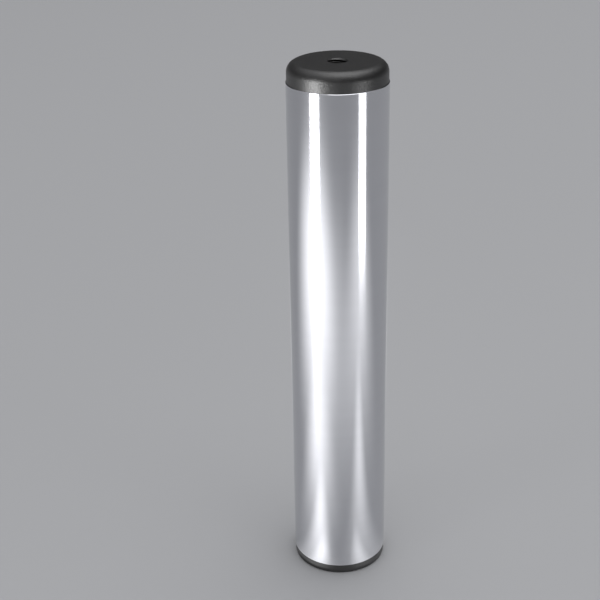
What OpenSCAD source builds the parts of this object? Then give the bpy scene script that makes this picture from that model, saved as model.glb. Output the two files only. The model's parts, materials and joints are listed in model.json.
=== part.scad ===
// Straight guide pillar for a die set or press tool.
// One piece of case-hardened steel, turned, hardened black and then ground between centres
// along its guiding length. The lead-in and the foot are turned a little under size, so the
// grinding wheel never touches them and they keep their black skin.
// Millimetres. The pillar stands on its foot, with the origin at the foot's centre and +Z along the axis.

/* [Pillar] */
// Diameter of the ground guiding surface
pillar_d = 25; // [16:1:60]
// Overall length, from the foot's face to the tip
pillar_l = 140; // [100:5:400]
// How much smaller the unground ends are than the ground surface, on the radius
relief = 0.2; // [0.05:0.05:0.4]
// Width of the 45 degree edge at each end of the ground surface
ground_edge = 0.1; // [0.05:0.05:0.3]

/* [Lead-in] */
// Height of the lead-in, from the ground surface to the tip
lead_h = 4.8; // [4:0.2:12]
// Radius that rounds the tip, so that a bush slides on without catching
lead_r = 2.5; // [1:0.1:3.5]

/* [Foot] */
// Height of the foot below the ground surface
foot_h = 2.5; // [1:0.1:8]
// Width of the 45 degree chamfer round the foot's face
foot_chamfer = 0.3; // [0.1:0.1:0.8]

/* [Screw hole] */
// Diameter of the tapping drill, which is the thread's inner diameter
tap_d = 4.2; // [2.5:0.1:8.5]
// How far the countersink reaches out beyond the drill, on the radius
sink_w = 0.4; // [0.1:0.05:2]
// Full angle of the countersink
sink_angle = 90; // [60:5:120]
// Length of straight hole that takes a screw, below the countersink
tap_l = 11.6; // [6:0.1:30]

/* [Foot centre] */
// Diameter of the centre drill's pilot in the foot
pilot_d = 2; // [1:0.1:5]
// How far the centre's mouth reaches out beyond the pilot, on the radius
centre_w = 1.125; // [0.5:0.025:3]
// Full angle of the centre, which is that of the grinder's point
centre_angle = 60; // [60:15:90]
// Length of straight pilot, beyond the centre's cone
pilot_l = 1.95; // [1:0.05:6]

/* [Drills] */
// Full angle of the drills' points, at the bottom of both holes
drill_angle = 118; // [90:1:140]

/* [Hidden] */
$fn = 96;
// How far a cutting shape stands out of the face that it enters
over = 1;
ground_r = pillar_d / 2;
black_r = ground_r - relief;
// Heights of the two shoulders between the ground surface and the black ends
foot_top = foot_h;
ground_top = pillar_l - lead_h;
ground_steel = "silver";
black_skin = "dimgray";

// Height of a cone that opens by a width on the radius, at a full angle
function cone_h(width, angle) = width / tan(angle / 2);

// A blind hole down from z = 0: a conical mouth, a straight drilled length and the drill's point.
module drilled_hole(drill_d, straight_l, mouth_w, mouth_angle) {
    mouth_h = cone_h(mouth_w, mouth_angle);
    point_h = cone_h(drill_d / 2, drill_angle);
    depth = mouth_h + straight_l;
    translate([0, 0, -depth])
        cylinder(h = depth + over, d = drill_d);
    translate([0, 0, -depth - point_h])
        cylinder(h = point_h, d1 = 0, d2 = drill_d);
    translate([0, 0, -mouth_h])
        cylinder(h = mouth_h, d1 = drill_d, d2 = drill_d + 2 * mouth_w);
}

// The guiding surface: one ground cylinder with a fine edge broken at each shoulder.
module ground_shaft() {
    color(ground_steel)
        rotate_extrude()
            polygon([
                [0, foot_top],
                [ground_r - ground_edge, foot_top],
                [ground_r, foot_top + ground_edge],
                [ground_r, ground_top - ground_edge],
                [ground_r - ground_edge, ground_top],
                [0, ground_top]
            ]);
}

// The black lead-in: a short cylinder under size, rounded over to a flat tip.
module lead_in() {
    color(black_skin)
        translate([0, 0, ground_top])
            rotate_extrude()
                union() {
                    square([black_r, lead_h - lead_r]);
                    square([black_r - lead_r, lead_h]);
                    intersection() {
                        translate([black_r - lead_r, lead_h - lead_r])
                            circle(r = lead_r);
                        square([black_r, lead_h]);
                    }
                }
}

// The black foot: a short cylinder under size, chamfered round its face.
module foot() {
    color(black_skin)
        rotate_extrude()
            polygon([
                [0, 0],
                [black_r - foot_chamfer, 0],
                [black_r, foot_chamfer],
                [black_r, foot_top],
                [0, foot_top]
            ]);
}

// The tapped hole in the tip, for the screw that holds a cage stop or an eye bolt.
module screw_hole() {
    translate([0, 0, pillar_l])
        drilled_hole(tap_d, tap_l, sink_w, sink_angle);
}

// The centre in the foot, on which the pillar turned while it was ground.
module foot_centre() {
    mirror([0, 0, 1])
        drilled_hole(pilot_d, pilot_l, centre_w, centre_angle);
}

module pillar() {
    difference() {
        union() {
            ground_shaft();
            lead_in();
            foot();
        }
        screw_hole();
        foot_centre();
    }
}

pillar();
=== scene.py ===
import json
import math

import bpy
import numpy as np
from mathutils import Euler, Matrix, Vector


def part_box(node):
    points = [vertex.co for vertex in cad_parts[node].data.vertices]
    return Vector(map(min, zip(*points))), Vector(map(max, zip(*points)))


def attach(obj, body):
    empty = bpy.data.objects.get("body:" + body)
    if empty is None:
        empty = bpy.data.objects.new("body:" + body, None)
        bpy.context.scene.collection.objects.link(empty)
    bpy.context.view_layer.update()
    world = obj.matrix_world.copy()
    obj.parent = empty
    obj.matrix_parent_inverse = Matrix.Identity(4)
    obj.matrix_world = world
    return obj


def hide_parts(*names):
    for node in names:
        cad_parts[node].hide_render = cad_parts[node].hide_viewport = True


# A straight guide pillar: bright where it is ground, and black on its lead-in, on its foot and in
# its holes. In metres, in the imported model's frame: it stands on z = 0, and +Z is its axis.

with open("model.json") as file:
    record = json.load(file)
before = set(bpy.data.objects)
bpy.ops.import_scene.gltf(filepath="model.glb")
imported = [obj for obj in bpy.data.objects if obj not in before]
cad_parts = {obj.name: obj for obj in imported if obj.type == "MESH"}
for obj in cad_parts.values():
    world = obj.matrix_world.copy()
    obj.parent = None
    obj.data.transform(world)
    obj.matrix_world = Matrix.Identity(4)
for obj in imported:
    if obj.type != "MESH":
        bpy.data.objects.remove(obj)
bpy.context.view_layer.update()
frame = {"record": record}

MM = 0.001
TURN = 2 * math.pi

# --- Sizes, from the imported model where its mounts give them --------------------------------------

mounts = {mount["name"]: mount for mount in frame["record"]["mounts"]}
TIP_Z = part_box("pillar")[1].z

guide = mounts["guide_surface"]
GROUND_R = guide["dims"]["r_mm"] * MM
GUIDE_MIDDLE = guide["pos_m"][2]
GUIDE_HALF = guide["dims"]["length_mm"] * MM / 2

hole = mounts["screw_hole"]
DRILL_R = hole["dims"]["r_mm"] * MM
DRILL_HALF = hole["dims"]["length_mm"] * MM / 2
DRILL_TOP = hole["pos_m"][2] + DRILL_HALF
DRILL_END = hole["pos_m"][2] - DRILL_HALF

# The ground surface ends in a fine 45 degree edge. Beyond it the pillar is under size and black.
GROUND_EDGE = 0.1 * MM
RELIEF = 0.2 * MM
BLACK_R = GROUND_R - RELIEF
SHOULDER_LOW = GUIDE_MIDDLE - GUIDE_HALF - GROUND_EDGE
SHOULDER_HIGH = GUIDE_MIDDLE + GUIDE_HALF + GROUND_EDGE
LEAD_RADIUS = 2.5 * MM
FOOT_CHAMFER = 0.3 * MM

# The tip's hole has a 90 degree countersink, which widens as fast as it rises, and an M5 thread.
SINK_R = DRILL_R + (TIP_Z - DRILL_TOP)
THREAD_R = 2.5 * MM
THREAD_PITCH = 0.8 * MM
THREAD_ROOT = THREAD_PITCH / 8
THREAD_FLANK = math.radians(30)
THREAD_DEPTH = 9.6 * MM
THREAD_RUNOUT = 2 * THREAD_PITCH

# The foot's centre is a 60 degree cone with a pilot beyond it.
PILOT_R = 1.0 * MM
CENTRE_R = 2.125 * MM
CENTRE_HALF_ANGLE = math.radians(30)
PILOT_L = 1.95 * MM
DRILL_POINT_HALF_ANGLE = math.radians(59)


# --- The pillar's mesh: one closed turned form, with the thread cut in its hole -------------------

# How finely the form is divided: round the axis, along its walls, faces, shaft and rounding,
# along each pitch of the thread, and along the plain wall below the thread
SEGMENTS = 192
WALL_STEPS = 3
FACE_STEPS = 8
SHAFT_STEPS = 36
ROUNDING_STEPS = 14
RINGS_PER_PITCH = 16
PLAIN_WALL_RINGS = 5

# The two finishes, by their places in the pillar's list of materials
GROUND, BLACK = 0, 1


class Profile:
    """Half of the pillar's section, as rings from the foot's centre to the tip's hole.

    Each ring has its radius and height, whether a corner lies there, and how far along the
    section it lies. Each step between two rings has its finish.
    """

    def __init__(self, radius, z):
        self.rings = [(radius, z)]
        self.sharp = [True]
        self.finish = []
        self.run = [0.0]

    def add(self, radius, z, finish, sharp):
        last_radius, last_z = self.rings[-1]
        self.rings.append((radius, z))
        self.sharp.append(sharp)
        self.finish.append(finish)
        self.run.append(self.run[-1] + math.hypot(radius - last_radius, z - last_z))

    def line(self, radius, z, finish, steps=1):
        """A straight run to (radius, z), which ends in a crisp corner."""
        from_radius, from_z = self.rings[-1]
        for step in range(1, steps + 1):
            share = step / steps
            here_r = from_radius + (radius - from_radius) * share
            here_z = from_z + (z - from_z) * share
            self.add(here_r, here_z, finish, sharp=step == steps)

    def rounding(self, radius, finish, steps):
        """A quarter turn from the outside to the flat tip, which leaves no corner at either end."""
        from_radius, from_z = self.rings[-1]
        self.sharp[-1] = False
        for step in range(1, steps + 1):
            angle = math.pi / 2 * step / steps
            here_r = from_radius - radius * (1 - math.cos(angle))
            here_z = from_z + radius * math.sin(angle)
            self.add(here_r, here_z, finish, sharp=False)


def outer_profile():
    """The rings from the pilot's wall in the foot to the mouth of the hole in the tip."""
    centre_h = (CENTRE_R - PILOT_R) / math.tan(CENTRE_HALF_ANGLE)
    profile = Profile(PILOT_R, centre_h + PILOT_L)
    profile.line(PILOT_R, centre_h, BLACK, WALL_STEPS)
    profile.line(CENTRE_R, 0, BLACK, WALL_STEPS)
    profile.line(BLACK_R - FOOT_CHAMFER, 0, BLACK, FACE_STEPS)
    profile.line(BLACK_R, FOOT_CHAMFER, BLACK)
    profile.line(BLACK_R, SHOULDER_LOW, BLACK, WALL_STEPS)
    profile.line(GROUND_R - GROUND_EDGE, SHOULDER_LOW, GROUND)
    profile.line(GROUND_R, SHOULDER_LOW + GROUND_EDGE, GROUND)
    profile.line(GROUND_R, SHOULDER_HIGH - GROUND_EDGE, GROUND, SHAFT_STEPS)
    profile.line(GROUND_R - GROUND_EDGE, SHOULDER_HIGH, GROUND)
    profile.line(BLACK_R, SHOULDER_HIGH, GROUND)
    profile.line(BLACK_R, TIP_Z - LEAD_RADIUS, BLACK, WALL_STEPS)
    profile.rounding(LEAD_RADIUS, BLACK, ROUNDING_STEPS)
    profile.line(SINK_R, TIP_Z, BLACK, FACE_STEPS)
    return profile


def thread_radius(angle, z):
    """How far the right-handed thread's groove reaches from the axis, at each angle and height."""
    turns = z / THREAD_PITCH - angle / TURN
    from_root = np.abs((turns + 0.5) % 1 - 0.5) * THREAD_PITCH
    flank = np.maximum(from_root - THREAD_ROOT / 2, 0) / math.tan(THREAD_FLANK)
    cut_share = np.clip((z - (TIP_Z - THREAD_DEPTH)) / THREAD_RUNOUT, 0, 1)
    runout = (THREAD_R - DRILL_R) * (1 - cut_share)
    return THREAD_R - flank - runout


def hole_rings(angles):
    """Each ring's radii and height, from just under the tip's face to the drilled wall's end."""
    step = THREAD_PITCH / RINGS_PER_PITCH
    threaded = np.arange(TIP_Z - step, TIP_Z - THREAD_DEPTH, -step)
    plain = np.linspace(TIP_Z - THREAD_DEPTH, DRILL_END, PLAIN_WALL_RINGS)
    for z in np.concatenate([threaded, plain]):
        countersink = DRILL_R + max(z - DRILL_TOP, 0)
        yield np.maximum(thread_radius(angles, z), countersink), z


def turned_mesh(name):
    """The closed mesh. Its UV map runs round the pillar one way and along its section the other."""
    angles = np.arange(SEGMENTS) * TURN / SEGMENTS
    profile = outer_profile()
    radii = [np.full(SEGMENTS, radius) for radius, z in profile.rings]
    heights = [z for radius, z in profile.rings]
    for ring_radii, z in hole_rings(angles):
        profile.add(DRILL_R, z, BLACK, sharp=False)
        radii.append(ring_radii)
        heights.append(z)

    rings = [np.stack([r * np.cos(angles), r * np.sin(angles), np.full(SEGMENTS, z)], axis=1)
             for r, z in zip(radii, heights)]
    foot_point = heights[0] + PILOT_R / math.tan(DRILL_POINT_HALF_ANGLE)
    tip_point = heights[-1] - DRILL_R / math.tan(DRILL_POINT_HALF_ANGLE)
    points = np.concatenate([*rings, [(0, 0, foot_point), (0, 0, tip_point)]])

    last = len(heights) - 1
    foot_apex = SEGMENTS * len(heights)
    tip_apex = foot_apex + 1
    run = np.array(profile.run) + PILOT_R
    along = run / (run[-1] + DRILL_R)
    faces, finishes, uvs = [], [], []
    for i in range(SEGMENTS):
        j = (i + 1) % SEGMENTS
        left, middle, right = i / SEGMENTS, (i + 0.5) / SEGMENTS, (i + 1) / SEGMENTS
        faces.append((foot_apex, j, i))
        finishes.append(BLACK)
        uvs += [(middle, 0), (right, along[0]), (left, along[0])]
        for ring in range(last):
            low, high = ring * SEGMENTS, (ring + 1) * SEGMENTS
            v_low, v_high = along[ring], along[ring + 1]
            faces.append((low + i, low + j, high + j, high + i))
            finishes.append(profile.finish[ring])
            uvs += [(left, v_low), (right, v_low), (right, v_high), (left, v_high)]
        faces.append((last * SEGMENTS + i, last * SEGMENTS + j, tip_apex))
        finishes.append(BLACK)
        uvs += [(left, along[last]), (right, along[last]), (middle, 1)]

    mesh = bpy.data.meshes.new(name)
    mesh.from_pydata(points.tolist(), [], faces)
    mesh.polygons.foreach_set("material_index", finishes)
    mesh.polygons.foreach_set("use_smooth", [True] * len(faces))
    mesh.uv_layers.new(name="OFBake").uv.foreach_set("vector", np.array(uvs, np.float32).ravel())
    mark_corners(mesh, profile.sharp)
    mesh.validate()
    return mesh


def mark_corners(mesh, sharp_rings):
    """Marks the edges of each ring that ends in a corner as sharp."""
    ends = np.zeros(len(mesh.edges) * 2, int)
    mesh.edges.foreach_get("vertices", ends)
    ring = ends.reshape(-1, 2) // SEGMENTS
    corners = np.append(sharp_rings, False)
    sharp = (ring[:, 0] == ring[:, 1]) & corners[np.minimum(ring[:, 0], len(sharp_rings))]
    attribute = mesh.attributes.new("sharp_edge", "BOOLEAN", "EDGE")
    attribute.data.foreach_set("value", sharp)


# --- Materials -----------------------------------------------------------------------------------

STEEL_COLOURS = ((0.64, 0.645, 0.675), (0.653, 0.658, 0.689))
SKIN_COLOURS = ((0.007, 0.007, 0.007), (0.012, 0.0115, 0.0115))
FLOOR_COLOUR = (0.485, 0.491, 0.505, 1)

# Most of a noise's values lie between these.
NOISE_LOW, NOISE_HIGH = 0.3, 0.7

# The Mix node's sockets for colours. It has others of the same names for its other data types.
MIX_LOW, MIX_HIGH, MIX_RESULT = 6, 7, 2


def node(tree, kind, settings=None, **inputs):
    """Adds a node. An input is a number or colour, or another node's output socket to link from."""
    made = tree.nodes.new(kind)
    for name, value in (settings or {}).items():
        setattr(made, name, value)
    for name, value in inputs.items():
        socket = made.inputs[name.replace("_", " ")]
        if isinstance(value, bpy.types.NodeSocket):
            tree.links.new(value, socket)
        else:
            socket.default_value = value
    return made


def new_material(name):
    """A material without nodes, and its node tree."""
    material = bpy.data.materials.new(name)
    material.use_nodes = True
    material.node_tree.nodes.clear()
    return material, material.node_tree


def finish_material(tree, shader):
    """Adds the output node, fed by the shader."""
    output = node(tree, "ShaderNodeOutputMaterial")
    tree.links.new(shader.outputs["BSDF"], output.inputs["Surface"])


def noise(tree, across, along, detail=2.0):
    """3-D noise with grains of the given size across the axis and along it, in metres."""
    place = node(tree, "ShaderNodeTexCoord").outputs["Object"]
    grains = (1 / across, 1 / across, 1 / along)
    scaled = node(tree, "ShaderNodeMapping", Vector=place, Scale=grains)
    made = node(
        tree, "ShaderNodeTexNoise",
        Vector=scaled.outputs["Vector"],
        Scale=1.0,
        Detail=detail,
        Roughness=0.5,
    )
    return made.outputs["Fac"]


def ranged(tree, value, low, high):
    """A noise's value, stretched to run from low to high."""
    made = node(
        tree, "ShaderNodeMapRange",
        Value=value,
        From_Min=NOISE_LOW,
        From_Max=NOISE_HIGH,
        To_Min=low,
        To_Max=high,
    )
    return made.outputs["Result"]


def blended(tree, share, low, high):
    """A colour between two colours."""
    made = node(tree, "ShaderNodeMix", {"data_type": "RGBA"}, Factor=share)
    made.inputs[MIX_LOW].default_value = (*low, 1)
    made.inputs[MIX_HIGH].default_value = (*high, 1)
    return made.outputs[MIX_RESULT]


def ground_steel():
    """Bright steel with fine grinding lines round it, which blur reflections along the axis only."""
    material, tree = new_material("ground_steel")
    lines = noise(tree, across=12 * MM, along=0.12 * MM)
    bands = noise(tree, across=30 * MM, along=1.4 * MM)
    bump = node(tree, "ShaderNodeBump", Strength=1.0, Distance=0.001 * MM, Height=lines)
    tangent = node(tree, "ShaderNodeTangent", {"direction_type": "RADIAL", "axis": "Z"})
    shader = node(
        tree, "ShaderNodeBsdfPrincipled",
        Base_Color=blended(tree, ranged(tree, bands, 0, 1), *STEEL_COLOURS),
        Metallic=1.0,
        Roughness=ranged(tree, lines, 0.12, 0.16),
        Anisotropic=0.8,
        Anisotropic_Rotation=0.25,
        Tangent=tangent.outputs["Tangent"],
        Normal=bump.outputs["Normal"],
    )
    finish_material(tree, shader)
    return material


def black_skin():
    """The matt black skin that hardening leaves, with a fine grain and clouds in its colour."""
    material, tree = new_material("black_skin")
    grain = noise(tree, across=0.30 * MM, along=0.30 * MM, detail=4.0)
    clouds = noise(tree, across=5 * MM, along=5 * MM, detail=3.0)
    bump = node(tree, "ShaderNodeBump", Strength=1.0, Distance=0.065 * MM, Height=grain)
    shader = node(
        tree, "ShaderNodeBsdfPrincipled",
        Base_Color=blended(tree, ranged(tree, clouds, 0, 1), *SKIN_COLOURS),
        Roughness=ranged(tree, grain, 0.35, 0.45),
        IOR=1.75,
        Normal=bump.outputs["Normal"],
    )
    finish_material(tree, shader)
    return material


def plain_floor():
    """The plain pale floor's even, matt finish."""
    material, tree = new_material("pale_floor")
    shader = node(
        tree, "ShaderNodeBsdfPrincipled",
        Base_Color=FLOOR_COLOUR,
        Roughness=0.6,
        IOR=1.45,
    )
    finish_material(tree, shader)
    return material


# --- The dressed pillar --------------------------------------------------------------------------

pillar = bpy.data.objects.new("turned_pillar", turned_mesh("turned_pillar"))
bpy.context.scene.collection.objects.link(pillar)
pillar.data.materials.append(ground_steel())
pillar.data.materials.append(black_skin())
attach(pillar, "root")
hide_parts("pillar")


# --- Floor ---------------------------------------------------------------------------------------

FLOOR_HALF = 6.0

corner_signs = ((-1, -1), (1, -1), (1, 1), (-1, 1))
floor_corners = [(x * FLOOR_HALF, y * FLOOR_HALF, 0) for x, y in corner_signs]
floor_mesh = bpy.data.meshes.new("floor")
floor_mesh.from_pydata(floor_corners, [], [(0, 1, 2, 3)])
floor = bpy.data.objects.new("floor", floor_mesh)
floor_mesh.materials.append(plain_floor())
bpy.context.scene.collection.objects.link(floor)


# --- Lamps ---------------------------------------------------------------------------------------

# The points on the axis that the strips face, and the spread of their grids in degrees
UPPER_SHAFT = (0, 0, 0.13)
ABOVE_TIP = (0, 0, 0.163)
GRID_SPREAD = 60

# Each glow lies a number of layers above the floor. No two share a layer, because only one of
# several lamps in one plane would show in the steel.
GLOW_LAYER = 0.1 * MM


def round_pillar(azimuth, distance, z):
    """A place round the pillar, at an angle in degrees to the right of the camera's side."""
    turn = math.radians(azimuth)
    return Vector((math.sin(turn) * distance, -math.cos(turn) * distance, z))


def hang_lamp(name, data, place, turn):
    """Adds a lamp's object, which the camera doesn't see."""
    lamp = bpy.data.objects.new(name, data)
    lamp.location = place
    lamp.rotation_euler = turn
    lamp.visible_camera = False
    bpy.context.scene.collection.objects.link(lamp)


def aimed(place, target):
    """The turn that faces a lamp at its place towards a target."""
    return (Vector(target) - Vector(place)).to_track_quat("-Z", "Y").to_euler()


def soft_lamp(name, place, target, width, height, brightness, spread=180):
    """A flat soft lamp that faces a target.

    At a brightness of 1 it looks white. A spread below 180 degrees is a grid over the lamp, which
    doesn't dim it as seen from the target.
    """
    data = bpy.data.lights.new(name, "AREA")
    data.shape = "RECTANGLE"
    data.size = width
    data.size_y = height
    data.spread = math.radians(spread)
    grid_share = 1 - data.spread / 2 / math.tan(data.spread / 2)
    data.energy = brightness * math.pi * width * height * grid_share
    hang_lamp(name, data, place, aimed(place, target))


def oval_lamp(name, width, length, brightness):
    """The data of an oval lamp, brightest in its middle and faint at its rim."""
    data = bpy.data.lights.new(name, "AREA")
    data.shape = "ELLIPSE"
    data.size = width
    data.size_y = length
    data.energy = brightness * math.pi * length * width * math.pi / 4
    data.use_nodes = True
    tree = data.node_tree
    place = node(tree, "ShaderNodeNewGeometry").outputs["Parametric"]
    # The lamp's own coordinates run from 0 to 1. These run from -1 to 1, with 0 in its middle.
    centred = node(tree, "ShaderNodeMapping", Vector=place, Location=(-1, -1, 0), Scale=(2, 2, 0))
    middle = node(
        tree, "ShaderNodeTexGradient", {"gradient_type": "SPHERICAL"},
        Vector=centred.outputs["Vector"],
    )
    soft = node(
        tree, "ShaderNodeMapRange", {"interpolation_type": "SMOOTHSTEP"},
        Value=middle.outputs["Fac"],
    )
    tree.links.new(soft.outputs["Result"], tree.nodes["Emission"].inputs["Strength"])
    return data


def floor_glow(name, layer, azimuth, distance, length, width, brightness):
    """An oval lamp that lies just above the floor, faces up and points at the pillar."""
    place = round_pillar(azimuth, distance, layer * GLOW_LAYER)
    turn = Euler((math.pi, 0, math.radians(azimuth)))
    hang_lamp(name, oval_lamp(name, width, length, brightness), place, turn)


# Two gridded strips stand close by. The steel shows them as the two stripes of its upper half.
soft_lamp("left_strip", place=round_pillar(azimuth=-51.8, distance=0.28, z=0.098),
          target=ABOVE_TIP, width=0.088, height=0.196, brightness=21, spread=GRID_SPREAD)
soft_lamp("right_strip", place=round_pillar(azimuth=54.5, distance=0.24, z=0.069),
          target=UPPER_SHAFT, width=0.066, height=0.122, brightness=5, spread=GRID_SPREAD)

# The steel shows the glows as the wide glow below the stripes.
floor_glow("left_glow", layer=6, azimuth=-57, distance=0.247,
           length=0.42, width=0.48, brightness=1.55)
floor_glow("left_glow_near", layer=5, azimuth=-49, distance=0.078,
           length=0.144, width=0.118, brightness=0.8)
floor_glow("left_glow_foot", layer=12, azimuth=-41.5, distance=0.033,
           length=0.076, width=0.03, brightness=0.85)
floor_glow("left_glow_rim", layer=10, azimuth=-31, distance=0.018,
           length=0.028, width=0.013, brightness=0.75)
floor_glow("right_glow", layer=7, azimuth=47.5, distance=0.22,
           length=0.40, width=0.29, brightness=0.75)
floor_glow("right_glow_near", layer=4, azimuth=46, distance=0.07,
           length=0.18, width=0.046, brightness=0.6)
floor_glow("right_glow_rim", layer=11, azimuth=33, distance=0.018,
           length=0.034, width=0.012, brightness=0.45)
floor_glow("wide_glow", layer=8, azimuth=-25, distance=0.173,
           length=0.33, width=0.44, brightness=0.57)

# One more strip and glow stand behind, for the back.
soft_lamp("back_strip", place=round_pillar(azimuth=180, distance=0.30, z=0.055),
          target=UPPER_SHAFT, width=0.07, height=0.10, brightness=2.5, spread=GRID_SPREAD)
floor_glow("back_glow", layer=9, azimuth=180, distance=0.17,
           length=0.30, width=0.13, brightness=1.0)

# One large lamp hangs overhead, a little to the right of the pillar and behind it.
soft_lamp("overhead", place=(0.50, 0.30, 2.6), target=(0.50, 0.30, 0),
          width=2.2, height=3.1, brightness=1.4)


# --- World ---------------------------------------------------------------------------------------

BEHIND_FLOOR = (0.22, 0.22, 0.223, 1)
DIM = (0.018, 0.018, 0.0189, 1)
OVERHEAD = (0.98, 0.98, 1.0, 1)

# Each colour's height, from 0 at the horizon to 1 straight up
SKY = ((0.05, BEHIND_FLOOR), (0.17, DIM), (0.45, DIM), (1.0, OVERHEAD))


def studio_world():
    """A plain studio: grey behind the floor's far edge, almost black above that, white overhead."""
    world = bpy.data.worlds.new("studio")
    world.use_nodes = True
    tree = world.node_tree
    direction = node(tree, "ShaderNodeTexCoord").outputs["Generated"]
    up = node(tree, "ShaderNodeSeparateXYZ", Vector=direction)
    sky = node(tree, "ShaderNodeValToRGB", Fac=up.outputs["Z"])
    stops = sky.color_ramp.elements
    while len(stops) < len(SKY):
        stops.new(1.0)
    for stop, (height, colour) in zip(stops, SKY):
        stop.position = height
        stop.color = colour
    tree.links.new(sky.outputs["Color"], tree.nodes["Background"].inputs["Color"])
    return world


bpy.context.scene.world = studio_world()


# --- Camera, where the photograph was taken from -------------------------------------------------

IMAGE_WIDTH_PX = 600
FOCAL_PX = 1226
SENSOR_WIDTH_MM = 36
CLIP_START = 10 * MM
CAMERA_PLACE = (0, -286.7 * MM, 212.2 * MM)
CAMERA_PITCH = math.radians(25.16)
CAMERA_YAW = math.radians(1.99)
CAMERA_ROLL = math.radians(-1.09)

camera_data = bpy.data.cameras.new("camera")
camera_data.sensor_width = SENSOR_WIDTH_MM
camera_data.lens = SENSOR_WIDTH_MM * FOCAL_PX / IMAGE_WIDTH_PX
camera_data.clip_start = CLIP_START
camera = bpy.data.objects.new("camera", camera_data)
camera.location = CAMERA_PLACE
level = Euler((math.pi / 2 - CAMERA_PITCH, 0, CAMERA_YAW)).to_matrix()
rolled = Euler((0, 0, CAMERA_ROLL)).to_matrix()
camera.rotation_euler = (level @ rolled).to_euler()
bpy.context.scene.collection.objects.link(camera)
bpy.context.scene.camera = camera
bpy.context.scene.view_settings.view_transform = "Standard"
